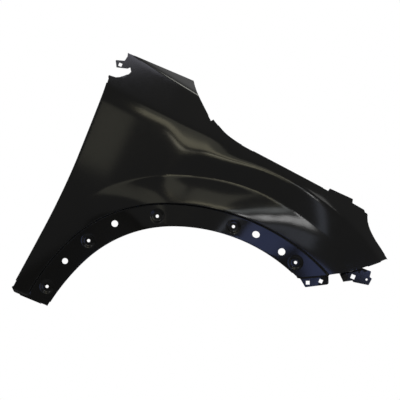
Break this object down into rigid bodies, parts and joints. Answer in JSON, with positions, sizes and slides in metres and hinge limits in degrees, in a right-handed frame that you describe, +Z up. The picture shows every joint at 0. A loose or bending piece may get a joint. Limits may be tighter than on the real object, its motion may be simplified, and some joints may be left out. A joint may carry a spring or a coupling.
{
  "type": "car front fender",
  "caption": "Right-hand pressed steel front fender with a recessed wheel arch band, flared arch, bolt flanges and bumper tabs.",
  "frame": {"origin": "under the middle pad of the bonnet-side rail flange, beside its bolt hole, a little forward of the wheel centre line", "axes": "+X towards the front of the car, +Y inboard to the car's middle, +Z up"},
  "size_m": [0.9416, 0.1981, 0.744],
  "materials": {
    "coated_steel": "semi-gloss black dip coat"
  },
  "bodies": {
    "root": {"panel": "coated_steel"}
  },
  "joints": []
}
